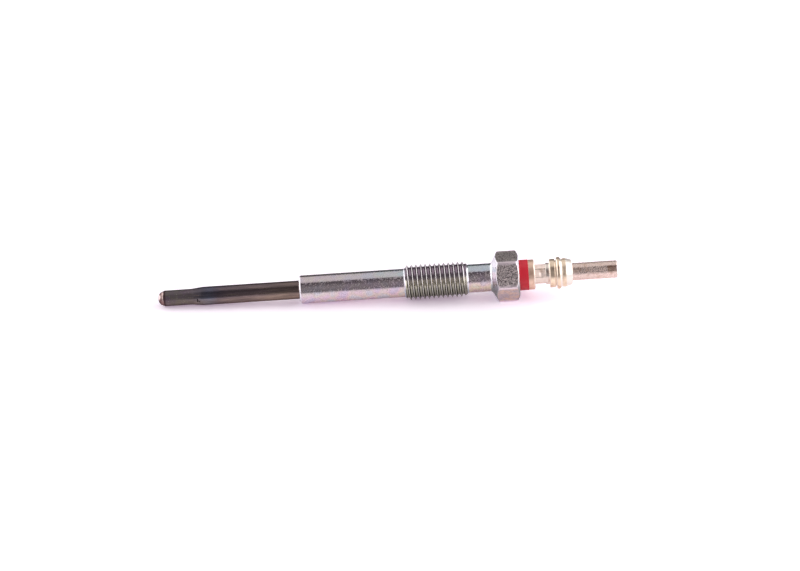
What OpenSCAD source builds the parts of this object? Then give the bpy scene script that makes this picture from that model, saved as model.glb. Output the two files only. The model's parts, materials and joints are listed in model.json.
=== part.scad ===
// Diesel glow plug, lying on its side, in millimetres.
// The axis runs along X: the glowing tip points to -X and the terminal to +X.
// The origin lies on the axis, where the sealing cone meets the shank.
// The hexagon has one flat up and one flat down.

/* [Glow tube] */
// Outer diameter of the glow tube
tube_d = 5.0; // [4.7:0.1:5.3]
// Wall of the glow tube
tube_wall = 0.6; // [0.45:0.05:0.75]
// Outer diameter of the drawn-down tip
tip_d = 4.3; // [4.1:0.05:4.6]
// Length of the drawn-down tip, weld dome included
tip_len = 9.15; // [7:0.05:12]
// Length of the taper between the tip and the full tube
taper_len = 3.0; // [1.5:0.1:4]
// How far the tip reaches in front of the sealing edge
tip_reach = 39.1; // [34:0.1:45]
// Length of tube that the shell grips behind the sealing edge
tube_grip = 22; // [16:0.5:26]
// Chamfer on the tube's front edge
tube_edge = 0.15; // [0.1:0.05:0.25]
// Diameter of the weld dome that closes the tip
dome_d = 4.0; // [3.6:0.05:4]
// How far the weld dome stands out in front of the tube
dome_len = 1.65; // [1.3:0.05:2]
// Depth of the weld inside the tube
weld_depth = 0.8; // [0.5:0.1:1.5]
// Length of the rubber seal in the rear end of the tube
tube_seal_len = 3; // [2:0.1:5]

/* [Coils] */
// Wire diameter of the heater coil
heater_wire = 0.4; // [0.3:0.05:0.45]
// Rise of the heater coil per turn
heater_pitch = 0.9; // [0.7:0.05:1.1]
// Turns of the heater coil
heater_turns = 10; // [6:1:12]
// Wire diameter of the control coil
control_wire = 0.32; // [0.25:0.01:0.4]
// Rise of the control coil per turn
control_pitch = 1.3; // [1:0.05:1.5]
// Turns of the control coil
control_turns = 16; // [10:1:18]
// Layer of magnesia between the coils and the drawn-down tip
coil_cover = 0.35; // [0.25:0.05:0.45]

/* [Shell] */
// Diameter of the smooth shank
shank_d = 7.75; // [7.2:0.05:8]
// Length of the shank from the sealing edge to the thread
shank_len = 28.0; // [26:0.1:36]
// Length of the sealing cone in front of the shank
cone_len = 0.6; // [0.4:0.05:1]
// Depth of the sealing cone
cone_depth = 0.3; // [0.2:0.05:0.6]
// Outer diameter of the thread
thread_d = 9.75; // [9.4:0.05:10]
// Pitch of the thread
thread_pitch = 1.25; // [1:0.05:1.5]
// Length of the thread
thread_len = 17.4; // [12:0.1:22]
// Diameter of the neck behind the thread
neck_d = 7.7; // [7.2:0.05:8]
// Length of the neck
neck_len = 6.25; // [4:0.05:10]
// Fillet between the neck and the hexagon
neck_fillet = 1.0; // [0.6:0.1:1.4]
// Width of the hexagon across its flats
hex_af = 12; // [11.5:0.1:13]
// How much the hexagon's corners are rounded off
hex_corner_cut = 0.05; // [0.03:0.01:0.3]
// Length of the head from the neck to the rear face
head_len = 7.5; // [6.5:0.1:10]
// Diameter of the round rear face of the hexagon
hex_face_d = 11.3; // [10:0.1:11.4]
// Slope of the hexagon's chamfers, measured from its end faces
hex_chamfer = 30; // [25:1:35]
// Bore of the shell around the rod
bore_d = 5.4; // [5:0.1:5.7]

/* [Rod and seals] */
// Diameter of the rod through the shell
rod_d = 4.0; // [3.6:0.1:4.2]
// Diameter of the rod's thin stem inside the tube
stem_d = 2.2; // [2:0.05:2.4]
// Length of the rod's nose inside the control coil
nose_len = 5; // [3:0.5:8]
// Length of bare stem behind the tube
stem_bare = 1.2; // [0.8:0.1:3]
// Chamfer on the rod's ends
rod_edge = 0.3; // [0.2:0.05:0.4]
// Bore of the shell around the O-ring and the insulator's spigot
gland_d = 6.6; // [6.2:0.1:7]
// Length of the insulator's spigot inside the shell
spigot_len = 2.5; // [1.5:0.1:4]
// Clearance between pieces that fit together
fit_gap = 0.02; // [0.01:0.005:0.03]

/* [Insulator and ring] */
// Diameter of the red insulating washer
washer_d = 8.35; // [8:0.05:9]
// Thickness of the red insulating washer
washer_len = 2.5; // [1.5:0.1:4]
// Rounded edge of the washer, as a chamfer
washer_edge = 0.2; // [0.1:0.05:0.4]
// Diameter of the pale clamp ring
ring_d = 8.2; // [7.6:0.05:8.6]
// Thickness of the clamp ring
ring_len = 1.75; // [1.2:0.05:3]
// Chamfer on the clamp ring's rear edge
ring_edge = 0.3; // [0.15:0.05:0.5]

/* [Terminal] */
// Diameter of the terminal's sleeve
sleeve_d = 5.3; // [5:0.05:5.5]
// Length of the sleeve
sleeve_len = 2.9; // [2:0.1:5]
// Diameter of the shoulder between the sleeve and the collar
shoulder_d = 5.85; // [5.6:0.05:6.5]
// Length of the shoulder
shoulder_len = 1.0; // [0.5:0.1:2]
// Diameter of the collar's two outer rings
collar_d = 7.8; // [7.4:0.05:8.4]
// Length of the collar's front ring
front_ring_len = 1.6; // [1.2:0.1:2.5]
// Diameter of the grooves beside the bead
groove_d = 7.0; // [6.4:0.1:7.2]
// Width of the groove in front of the bead
front_groove = 0.25; // [0.15:0.05:0.6]
// Width of the groove behind the bead
rear_groove = 0.45; // [0.2:0.05:0.8]
// Diameter of the collar's bead
bead_d = 8.7; // [8.5:0.05:9.4]
// Length of the bead
bead_len = 1.25; // [1:0.05:1.5]
// Length of the collar's rear ring
rear_ring_len = 2.65; // [1.8:0.05:4]
// Length of the straight part of the rear ring
rear_land = 1.4; // [0.8:0.1:1.8]
// Smaller diameter at the end of the rear ring
rear_ring_end_d = 7.2; // [6.6:0.1:7.3]
// Chamfer on the collar's rings
collar_edge = 0.25; // [0.1:0.05:0.35]
// Diameter of the connector pin
pin_d = 4.75; // [4.6:0.05:5.2]
// Length of the connector pin
pin_len = 12.2; // [9:0.1:16]
// Chamfer on the pin's end
pin_edge = 0.35; // [0.2:0.05:0.6]
// Width of the slot in the pin's end
slot_w = 1.6; // [0.8:0.1:1.8]
// Length of the slot along the pin
slot_len = 2.7; // [1.5:0.1:4]
// How deep the slot is cut into the pin from its side
slot_depth = 3.4; // [2:0.1:4]
// Turn of the slot about the axis, from upright
slot_turn = 55; // [0:1:90]
// Depth of the socket in the terminal that the rod is pressed into
socket_depth = 8; // [6:0.5:9]

/* [Hidden] */
$fn = 96;

// Steps in a rounded outline, and steps and sides of a coil's wire
arc_steps = 10;
turn_steps = 12;
wire_sides = 6;

// Radii
tube_r = tube_d / 2;
tip_r = tip_d / 2;
tube_bore_r = tube_r - tube_wall;
tip_bore_r = tip_r - tube_wall;
dome_r = dome_d / 2;
coil_r = tip_bore_r - coil_cover - heater_wire / 2;
nose_r = (coil_r - control_wire / 2) * cos(180 / turn_steps) - fit_gap;
stem_r = stem_d / 2;
rod_r = rod_d / 2;
gland_r = gland_d / 2;
hex_corner_r = hex_af / 2 / cos(30);

// Places along the axis, from the tip to the sealing edge
tip_x = -tip_reach;
tube_front_x = tip_x + dome_len;
weld_back_x = tube_front_x + weld_depth;
taper_front_x = tip_x + tip_len;
taper_back_x = taper_front_x + taper_len;
heater_x = weld_back_x + heater_wire / 2 + fit_gap;
control_x = heater_x + heater_turns * heater_pitch;
control_back_x = control_x + control_turns * control_pitch;
stem_x = control_back_x + control_wire / 2 + fit_gap;
nose_x = stem_x - nose_len;
cone_x = -cone_len;

// Places along the axis, from the sealing edge to the terminal's end
tube_back_x = tube_grip;
seal_x = tube_back_x - tube_seal_len;
rod_x = tube_back_x + stem_bare;
thread_x = shank_len;
neck_x = thread_x + thread_len;
head_x = neck_x + neck_len;
head_back_x = head_x + head_len;
washer_back_x = head_back_x + washer_len;
sleeve_x = washer_back_x + ring_len;
shoulder_x = sleeve_x + sleeve_len;
collar_x = shoulder_x + shoulder_len;
front_groove_x = collar_x + front_ring_len;
bead_x = front_groove_x + front_groove;
rear_groove_x = bead_x + bead_len;
rear_ring_x = rear_groove_x + rear_groove;
pin_x = rear_ring_x + rear_ring_len;
end_x = pin_x + pin_len;
socket_x = sleeve_x + socket_depth;
rod_back_x = socket_x - fit_gap;

// O-ring and its seat
seal_r = (gland_r - rod_r) / 2 - fit_gap;
seal_mid_r = (gland_r + rod_r) / 2;
spigot_x = head_back_x - spigot_len;
seal_mid_x = spigot_x - fit_gap - seal_r;
gland_x = seal_mid_x - seal_r - fit_gap;

// Metric thread form
thread_r = thread_d / 2;
thread_depth = 17 / 24 * thread_pitch * cos(30);
thread_root_r = thread_r - thread_depth;
crest_w = thread_pitch / 8;
flank_w = thread_depth * tan(30);
crest_count = floor(thread_len / thread_pitch);
first_crest_x = thread_x + (thread_len - (crest_count - 1) * thread_pitch) / 2;

// How far a cutter or a bar reaches past what it cuts
over = hex_af / 10;
// Points on an arc about [x, r], from one angle to another
function arc(x, r, radius, from, to) = [
    for (i = [0 : arc_steps])
        let (a = from + (to - from) * i / arc_steps)
        [x + radius * cos(a), r + radius * sin(a)]
];

// The same outline in the other order
function backwards(points) = [for (i = [len(points) - 1 : -1 : 0]) points[i]];

// Run along the axis over which a chamfer of the hexagon rises by so much
function chamfer_run(rise) = rise * tan(hex_chamfer);

// A piece turned about the X axis from an outline of [x, radius] points
module turned(outline) {
    rotate([0, 90, 0])
        rotate_extrude()
            polygon([for (p = outline) [p[1], p[0]]]);
}

// Ridges that stand for the thread, one per pitch
function thread_outline() = [
    for (i = [0 : crest_count - 1])
        let (x = first_crest_x + i * thread_pitch)
        each [
            [x - crest_w / 2 - flank_w, thread_root_r],
            [x - crest_w / 2, thread_r],
            [x + crest_w / 2, thread_r],
            [x + crest_w / 2 + flank_w, thread_root_r]
        ]
];

// Fillet and cone from the neck out to the hexagon's cut corners, and the chamfer at the rear
function head_outline() =
    let (
        neck_r = neck_d / 2,
        face_r = hex_face_d / 2,
        top_r = hex_corner_r - hex_corner_cut,
        tangent = neck_fillet * tan((90 - hex_chamfer) / 2)
    )
    concat(
        arc(head_x - tangent, neck_r + neck_fillet, neck_fillet, -90, -hex_chamfer),
        [
            [head_x + chamfer_run(top_r - neck_r), top_r],
            [head_back_x - chamfer_run(top_r - face_r), top_r],
            [head_back_x, face_r]
        ]
    );

// Stepped bore, from the rear to the front
function bore_outline() = [
    [head_back_x, gland_r],
    [gland_x, gland_r],
    [gland_x, bore_d / 2],
    [tube_back_x, bore_d / 2],
    [tube_back_x, tube_r + fit_gap],
    [cone_x, tube_r + fit_gap]
];

// Body turned from hexagon bar: cone, shank, thread, neck and hexagon
module shell() {
    shank_r = shank_d / 2;
    color("silver")
    intersection() {
        turned(concat(
            [
                [cone_x, shank_r - cone_depth],
                [0, shank_r],
                [thread_x, shank_r],
                [thread_x, thread_root_r]
            ],
            thread_outline(),
            [[neck_x, thread_root_r], [neck_x, neck_d / 2]],
            head_outline(),
            bore_outline()
        ));
        translate([cone_x - over, 0, 0])
            rotate([0, 90, 0])
                rotate([0, 0, 30])
                    cylinder(r = hex_corner_r, h = head_back_x - cone_x + 2 * over, $fn = 6);
    }
}

// Outline of a tube's inside, drawn down at the tip, from a front to a back place
function inside_outline(front, back, gap) = [
    [front, tip_bore_r - gap],
    [taper_front_x, tip_bore_r - gap],
    [taper_back_x, tube_bore_r - gap],
    [back, tube_bore_r - gap]
];

// Swaged sheath
module glow_tube() {
    color("dimgray")
    turned(concat(
        [
            [tube_front_x, tip_r - tube_edge],
            [tube_front_x + tube_edge, tip_r],
            [taper_front_x, tip_r],
            [taper_back_x, tube_r],
            [tube_back_x, tube_r]
        ],
        backwards(inside_outline(tube_front_x, tube_back_x, 0))
    ));
}

// Weld that closes the tip: a dome outside and a plug inside the tube
module tip_weld() {
    plug_r = tip_bore_r - fit_gap;
    dome = [for (p = arc(0, 0, 1, 180, 90)) [tube_front_x + dome_len * p[0], dome_r * p[1]]];
    color("rosybrown")
    turned(concat(
        dome,
        [
            [tube_front_x, plug_r],
            [weld_back_x, plug_r],
            [weld_back_x, 0]
        ]
    ));
}

// Wire wound about the X axis, with its first turn at x and each section in a plane through the axis
module coil(x, pitch, turns, wire_r) {
    steps = turns * turn_steps;
    rings = [
        for (i = [0 : steps])
            let (
                angle = 360 * i / turn_steps,
                outward = [0, cos(angle), sin(angle)],
                centre = [x + pitch * i / turn_steps, 0, 0] + coil_r * outward
            )
            [for (k = [0 : wire_sides - 1])
                let (a = 360 * k / wire_sides)
                centre + wire_r * (cos(a) * outward + sin(a) * [-1, 0, 0])]
    ];
    points = [for (ring = rings) each ring];
    sides = [
        for (i = [0 : steps - 1], k = [0 : wire_sides - 1])
            let (
                a = i * wire_sides + k,
                b = i * wire_sides + (k + 1) % wire_sides,
                c = b + wire_sides,
                d = a + wire_sides
            )
            each [[a, c, b], [a, d, c]]
    ];
    front = [for (k = [0 : wire_sides - 1]) k];
    back = [for (k = [wire_sides - 1 : -1 : 0]) steps * wire_sides + k];
    polyhedron(points, concat(sides, [front, back]));
}

// Coil at the tip that glows
module heater_coil() {
    color("darkorange")
    coil(heater_x, heater_pitch, heater_turns, heater_wire / 2);
}

// Coil that limits the current, wound on to the rod's nose
module control_coil() {
    color("peru")
    coil(control_x, control_pitch, control_turns, control_wire / 2);
}

// Packed powder around the coils
module magnesia_fill() {
    front = weld_back_x + fit_gap;
    back = seal_x - fit_gap;
    color("whitesmoke")
    difference() {
        turned(concat(
            [[front, 0]],
            inside_outline(front, back, fit_gap),
            [
                [back, stem_r + fit_gap],
                [stem_x - fit_gap, stem_r + fit_gap],
                [stem_x - fit_gap, nose_r + fit_gap],
                [nose_x - fit_gap, nose_r + fit_gap],
                [nose_x - fit_gap, 0]
            ]
        ));
        coil(heater_x, heater_pitch, heater_turns, heater_wire / 2 + fit_gap);
        coil(control_x, control_pitch, control_turns, control_wire / 2 + fit_gap);
    }
}

// Rubber seal between the tube and the rod's stem
module tube_seal() {
    color("darkslategray")
    turned([
        [seal_x, stem_r + fit_gap],
        [seal_x, tube_bore_r - fit_gap],
        [tube_back_x, tube_bore_r - fit_gap],
        [tube_back_x, stem_r + fit_gap]
    ]);
}

// Rod that carries the current from the terminal to the coils
module centre_rod() {
    color("lightsteelblue")
    turned([
        [nose_x, 0],
        [nose_x, nose_r],
        [stem_x, nose_r],
        [stem_x, stem_r],
        [rod_x, stem_r],
        [rod_x, rod_r - rod_edge],
        [rod_x + rod_edge, rod_r],
        [rod_back_x - rod_edge, rod_r],
        [rod_back_x, rod_r - rod_edge],
        [rod_back_x, 0]
    ]);
}

// O-ring under the insulator
module body_seal() {
    color("black")
    translate([seal_mid_x, 0, 0])
        rotate([0, 90, 0])
            rotate_extrude()
                translate([seal_mid_r, 0])
                    circle(r = seal_r);
}

// Red washer with a spigot that centres it in the shell
module insulator() {
    washer_r = washer_d / 2;
    hole_r = rod_r + fit_gap;
    color("firebrick")
    turned([
        [spigot_x, hole_r],
        [spigot_x, gland_r - fit_gap],
        [head_back_x, gland_r - fit_gap],
        [head_back_x, washer_r - washer_edge],
        [head_back_x + washer_edge, washer_r],
        [washer_back_x - washer_edge, washer_r],
        [washer_back_x, washer_r - washer_edge],
        [washer_back_x, hole_r]
    ]);
}

// Pale ring that holds the washer against the shell
module clamp_ring() {
    ring_r = ring_d / 2;
    hole_r = rod_r + fit_gap;
    color("wheat")
    turned([
        [washer_back_x, hole_r],
        [washer_back_x, ring_r],
        [sleeve_x - ring_edge, ring_r],
        [sleeve_x, ring_r - ring_edge],
        [sleeve_x, hole_r]
    ]);
}

// Collar of two rings with a rounded bead between them
function collar_outline() =
    let (
        collar_r = collar_d / 2,
        groove_r = groove_d / 2,
        bead_r = bead_len / 2,
        rear_end_r = rear_ring_end_d / 2
    )
    concat(
        [
            [collar_x, collar_r - collar_edge],
            [collar_x + collar_edge, collar_r],
            [front_groove_x - collar_edge, collar_r],
            [front_groove_x, collar_r - collar_edge],
            [front_groove_x, groove_r],
            [bead_x, groove_r]
        ],
        arc(bead_x + bead_r, bead_d / 2 - bead_r, bead_r, 180, 0),
        [
            [rear_groove_x, groove_r],
            [rear_ring_x, groove_r],
            [rear_ring_x, collar_r - collar_edge],
            [rear_ring_x + collar_edge, collar_r],
            [rear_ring_x + rear_land, collar_r],
            [pin_x - collar_edge, rear_end_r],
            [pin_x, rear_end_r - collar_edge]
        ]
    );

// Turned terminal: sleeve, shoulder, collar and slotted pin
module terminal_pin() {
    sleeve_r = sleeve_d / 2;
    shoulder_r = shoulder_d / 2;
    pin_r = pin_d / 2;
    socket_r = rod_r + fit_gap;
    color("tan")
    difference() {
        turned(concat(
            [
                [socket_x, 0],
                [socket_x, socket_r],
                [sleeve_x, socket_r],
                [sleeve_x, sleeve_r],
                [shoulder_x, sleeve_r],
                [shoulder_x, shoulder_r],
                [collar_x, shoulder_r]
            ],
            collar_outline(),
            [
                [pin_x, pin_r],
                [end_x - pin_edge, pin_r],
                [end_x, pin_r - pin_edge],
                [end_x, 0]
            ]
        ));
        rotate([slot_turn, 0, 0])
            translate([end_x - slot_len, -slot_w / 2, pin_r - slot_depth])
                cube([slot_len + over, slot_w, slot_depth + over]);
    }
}

shell();
glow_tube();
tip_weld();
heater_coil();
control_coil();
magnesia_fill();
tube_seal();
centre_rod();
body_seal();
insulator();
clamp_ring();
terminal_pin();
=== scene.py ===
# %% [markdown]
# # A diesel glow plug
# A glow plug is a small heater that screws into a diesel engine. From left to right it has a weld dome, a
# dark heater tube, a zinc-plated steel shell with a thread and a hexagon, a red insulating washer, a pale
# ring and a nickel-plated terminal. Apart from the hexagon they are all round, so nearly every surface here
# is a profile carried around one axis. The solids of the CAD model are loaded first: they give the places
# and sizes, and the pieces made here stand exactly where they are.

# %% Load the frame
import json
import math

import bpy
import numpy as np
from mathutils import Matrix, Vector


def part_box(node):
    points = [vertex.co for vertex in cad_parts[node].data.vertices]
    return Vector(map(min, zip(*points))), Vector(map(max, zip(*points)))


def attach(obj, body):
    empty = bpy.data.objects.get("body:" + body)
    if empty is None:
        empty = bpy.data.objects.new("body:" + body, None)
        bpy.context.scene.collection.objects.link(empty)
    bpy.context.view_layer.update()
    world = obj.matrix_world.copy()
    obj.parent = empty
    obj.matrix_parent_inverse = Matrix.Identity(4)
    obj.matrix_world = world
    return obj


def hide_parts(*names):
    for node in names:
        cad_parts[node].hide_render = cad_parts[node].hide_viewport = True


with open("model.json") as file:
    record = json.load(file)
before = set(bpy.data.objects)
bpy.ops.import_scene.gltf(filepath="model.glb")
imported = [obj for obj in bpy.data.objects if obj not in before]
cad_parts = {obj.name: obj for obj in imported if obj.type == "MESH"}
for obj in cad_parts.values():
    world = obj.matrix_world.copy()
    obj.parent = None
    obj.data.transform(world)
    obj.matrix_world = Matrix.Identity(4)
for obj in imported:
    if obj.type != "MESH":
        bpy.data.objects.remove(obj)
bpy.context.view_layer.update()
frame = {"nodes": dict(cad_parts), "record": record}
MM = 0.001

# %% [markdown]
# ## Places along the axis
# The axis of the plug is the X axis, and the sealing edge at the front of the shank is at zero. The boxes of
# the CAD nodes and the mounts of the record give most places. The few sizes that neither of them holds, such
# as the thread's pitch, are written here in millimetres.

# %% Read the sizes
mounts = {mount["name"]: mount for mount in frame["record"]["mounts"]}


def ends(node):
    """The lowest and the highest x of a node, and how far it reaches above the axis."""
    low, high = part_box(node)
    return low[0], high[0], high[2]


def mount_radius(name):
    """The radius of a round mount, in metres."""
    return mounts[name]["dims"]["r_mm"] * MM


cone_x, head_back_x, flat_r = ends("shell")
corner_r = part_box("shell")[1][1]
tube_front_x, tube_back_x, tube_r = ends("glow_tube")
tip_x, weld_back_x, dome_r = ends("tip_weld")
spigot_x, washer_back_x, washer_r = ends("insulator")
ring_x, sleeve_x, ring_r = ends("clamp_ring")
_, end_x, bead_r = ends("terminal_pin")
gland_r = ends("body_seal")[2]
rod_r = ends("centre_rod")[2]
shank_r = mount_radius("shank")
thread_r = mount_radius("thread")
pin_r = mount_radius("connector_pin")
pin_x = mounts["connector_pin"]["pos_m"][0] - mounts["connector_pin"]["dims"]["length_mm"] * MM / 2

tip_r = 2.15 * MM
tip_len = 9.15 * MM
taper_len = 3.0 * MM
tube_wall = 0.6 * MM
cone_depth = 0.3 * MM
thread_pitch = 1.25 * MM
thread_len = 17.4 * MM
neck_r = 3.85 * MM
neck_len = 6.25 * MM
neck_fillet = 1.0 * MM
hex_face_r = 5.65 * MM
hex_lean = math.radians(30)
hex_slope = math.tan(hex_lean)

# The rounded corners stay a hair inside the CAD box.
corner_reach_r = corner_r - 0.02 * MM
sharp_corner = 1 / math.cos(math.pi / 6)
hex_corner_round = (flat_r * sharp_corner - corner_reach_r) / (sharp_corner - 1)

thread_x = mounts["thread"]["pos_m"][0] - thread_len / 2
neck_x = thread_x + thread_len
head_x = neck_x + neck_len
stations = np.round(np.array([thread_x, neck_x, head_x]) / MM, 2)
print("thread, neck and head start at", stations.tolist(), "mm")

# %% [markdown]
# ## From a grid of points to a mesh
# A turned surface is a grid: one row for each point of the profile, one column for each angle. Blender could
# spin an edge for us, but worked out as arrays the same grid can also carry a thread or a hexagon. The
# helper below joins the points, merges those that fall together at seams and on the axis, and measures the
# volume. A positive volume proves that the faces point outwards.

# %% Grid to mesh
sharp_angle = math.radians(38)
merge_digits = 8


def mesh_from_grid(name, grid):
    """Joins grid point (i, j) to its next neighbours in both directions.

    Points that coincide become one, and a four-sided face with one collapsed side becomes a triangle.
    """
    rows, columns = grid.shape[:2]
    points, back = np.unique(np.round(grid.reshape(-1, 3), merge_digits), axis=0, return_inverse=True)
    number = back.reshape(rows, columns)
    corners = (number[:-1, :-1], number[:-1, 1:], number[1:, 1:], number[1:, :-1])
    quads = np.stack(corners, -1).reshape(-1, 4)
    collapsed = quads == np.roll(quads, -1, axis=1)
    whole = quads[~collapsed.any(1)]
    once = collapsed.sum(1) == 1
    triangles = quads[once][~collapsed[once]].reshape(-1, 3)
    mesh = bpy.data.meshes.new(name)
    mesh.from_pydata(points.tolist(), [], whole.tolist() + triangles.tolist())
    mesh.polygons.foreach_set("use_smooth", np.ones(len(mesh.polygons), bool))
    mesh.set_sharp_from_angle(angle=sharp_angle)
    fans = np.concatenate([whole[:, [0, 1, 2]], whole[:, [0, 2, 3]], triangles])
    a, b, c = (points[fans[:, k]] for k in range(3))
    volume = np.einsum("ij,ij->i", a, np.cross(b, c)).sum() / 6
    print(f"{name}: {len(points)} points, {len(fans)} triangles, {volume / MM ** 3:.1f} mm3")
    return mesh


# %% [markdown]
# ## Profiles with rounded corners
# No real edge is perfectly sharp, and it is the thin line of light on an edge that makes metal look real. So
# each corner of a profile is given with a fillet radius and is replaced by a small arc. Two extra points
# close to each arc keep the long sides straight when the surface is shaded smoothly.

# %% Rounded profiles
tiny = 1e-9
hold_out = 1.3


def fresh_rows(rows):
    """Leaves out each point that repeats the one before it."""
    return rows[np.linalg.norm(rows - np.roll(rows, 1, 0), axis=1) > tiny]


def rounded(corners, steps=5):
    """Replaces each corner (x, radius, fillet) by an arc that touches both of its sides.

    The arc starts fillet / tan(half angle) before the corner. Its centre lies on the line that halves the
    angle, fillet / sin(half angle) away, and the points swing about that centre from side to side. One more
    point stands on each side of the corner, hold_out times as far away as the arc's end.
    """
    corners = np.array(corners, float)
    place, fillet = corners[:, :2], corners[:, 2:]
    before = np.roll(place, 1, 0) - place
    after = np.roll(place, -1, 0) - place
    before /= np.linalg.norm(before, axis=1, keepdims=True)
    after /= np.linalg.norm(after, axis=1, keepdims=True)
    half = np.arccos(np.clip((before * after).sum(1, keepdims=True), -1, 1)) / 2
    middle = before + after
    centre = place + middle / np.linalg.norm(middle, axis=1, keepdims=True) * fillet / np.sin(half)
    reach = fillet / np.tan(half)
    start = place + before * reach - centre
    stop = place + after * reach - centre
    sweep = np.pi - 2 * half
    t = np.linspace(0, 1, steps)[None, :, None]
    swing = np.sin((1 - t) * sweep[:, None]) * start[:, None] + np.sin(t * sweep[:, None]) * stop[:, None]
    arcs = centre[:, None] + swing / np.sin(sweep[:, None])
    hold = hold_out * reach
    rows = np.concatenate([(place + before * hold)[:, None], arcs, (place + after * hold)[:, None]], 1)
    return fresh_rows(rows.reshape(-1, 2))


def crossed(profile, places):
    """Adds a point wherever one of the profile's sides passes one of the places along the axis.

    A place within a hundredth of a side's end is left out, because the end itself is near enough.
    """
    step = (np.roll(profile, -1, 0) - profile)[:-1]
    run = np.where(np.abs(step[:, :1]) < tiny, np.inf, step[:, :1])
    share = (np.asarray(places)[None] - profile[:-1, :1]) / run
    side, which = np.nonzero((share > 0.01) & (share < 0.99))
    part = share[side, which]
    points = np.concatenate([profile, profile[side] + part[:, None] * step[side]])
    return points[np.argsort(np.concatenate([np.arange(len(profile)), side + part]))]


def turned(profile, angles, closed, bend=None):
    """Carries a profile of (x, radius) around the X axis: y = radius cos(angle), z = radius sin(angle).

    A closed profile is the whole cut through one side of a ring. Bend, if given, is a function of the
    grids of x, radius and angle that gives a changed radius.
    """
    if closed:
        profile = np.concatenate([profile, profile[:1]])
    x = profile[:, :1] + 0 * angles
    radius = profile[:, 1:] + 0 * angles
    if bend is not None:
        radius = bend(x, radius, angles + 0 * x)
    return np.stack([x, radius * np.cos(angles), radius * np.sin(angles)], -1)


full_turn = np.linspace(0, 2 * np.pi, 145)
print("a full turn has", len(full_turn) - 1, "columns")

# %% [markdown]
# ## Shader maths as sums
# A material is a graph of nodes, and long graphs are hard to read as code. This small class wraps one
# socket, so that an expression such as 1 - mask * 0.5 adds the Math nodes for us. Every other node comes
# from the node method: its settings are set first, and then its sockets get values or links.


# %% A socket that can be added and multiplied
class Wire:
    """One output socket of a shader graph, with the usual operators."""

    def __init__(self, tree, socket=None):
        self.tree = tree
        self.socket = socket

    def node(self, kind, settings=(), inputs=(), output=0):
        """Adds a node of a kind, sets its settings, then fills its sockets with values or links."""
        made = self.tree.nodes.new(kind)
        for key, value in dict(settings).items():
            if key == "stops":
                self.fill_ramp(made.color_ramp, value)
            else:
                setattr(made, key, value)
        for key, value in dict(inputs).items():
            if isinstance(value, Wire):
                self.tree.links.new(value.socket, made.inputs[key])
            else:
                made.inputs[key].default_value = value
        return Wire(self.tree, made.outputs[output]) if len(made.outputs) else made

    @staticmethod
    def fill_ramp(ramp, stops):
        """Puts (place, colour) stops into a colour ramp, which starts with two of its own."""
        for place, _ in stops[2:]:
            ramp.elements.new(place)
        for element, (place, colour) in zip(ramp.elements, stops):
            element.position = place
            element.color = colour

    def math(self, operation, *values, clamp=False):
        """Adds one Math node."""
        settings = {"operation": operation, "use_clamp": clamp}
        return self.node("ShaderNodeMath", settings, dict(enumerate(values)))

    def __add__(self, other):
        return self.math("ADD", self, other)

    def __sub__(self, other):
        return self.math("SUBTRACT", self, other)

    def __rsub__(self, other):
        return self.math("SUBTRACT", other, self)

    def __mul__(self, other):
        return self.math("MULTIPLY", self, other)

    def __truediv__(self, other):
        return self.math("DIVIDE", self, other)

    __radd__ = __add__
    __rmul__ = __mul__

    def step(self, low, high):
        """Rises smoothly from 0 at low to 1 at high."""
        settings = {"interpolation_type": "SMOOTHSTEP"}
        return self.node("ShaderNodeMapRange", settings, {0: self, 1: low, 2: high})

    def blend(self, colour, other, way="MIX"):
        """Mixes two colours by this factor."""
        settings = {"data_type": "RGBA", "blend_type": way}
        return self.node("ShaderNodeMix", settings, {0: self, 6: colour, 7: other}, output=2)

    def ramp(self, stops):
        """Turns this value into a colour by (place, colour) stops."""
        return self.node("ShaderNodeValToRGB", {"stops": stops}, {0: self})

    def parts(self):
        """Splits this vector into its x, y and z."""
        made = self.node("ShaderNodeSeparateXYZ", inputs={0: self}).socket.node
        return [Wire(self.tree, socket) for socket in made.outputs]


def open_graph(owner):
    """Turns on the nodes of a material or a world and empties its graph."""
    owner.use_nodes = True
    owner.node_tree.nodes.clear()
    return Wire(owner.node_tree)


def paint(red, green, blue):
    """Turns a colour as a screen shows it, 0 to 255, into the linear numbers that shaders use."""
    shown = np.array([red, green, blue]) / 255
    straight = np.where(shown > 0.04045, ((shown + 0.055) / 1.055) ** 2.4, shown / 12.92)
    return (*straight.tolist(), 1.0)


print("mid grey in linear numbers:", round(paint(128, 128, 128)[0], 3))

# %% [markdown]
# ## A finish to start from
# All finishes here read the object's own coordinates, in metres, so a pattern stays on the metal when the
# camera moves. The helper opens a material and hands out what every finish needs: the place on the piece,
# its distance from the axis, how high it lies around the axis, how much it leans along the axis, and noise of
# a chosen grain size.

# %% Finish helper
axis_guard = 1e-6


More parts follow.
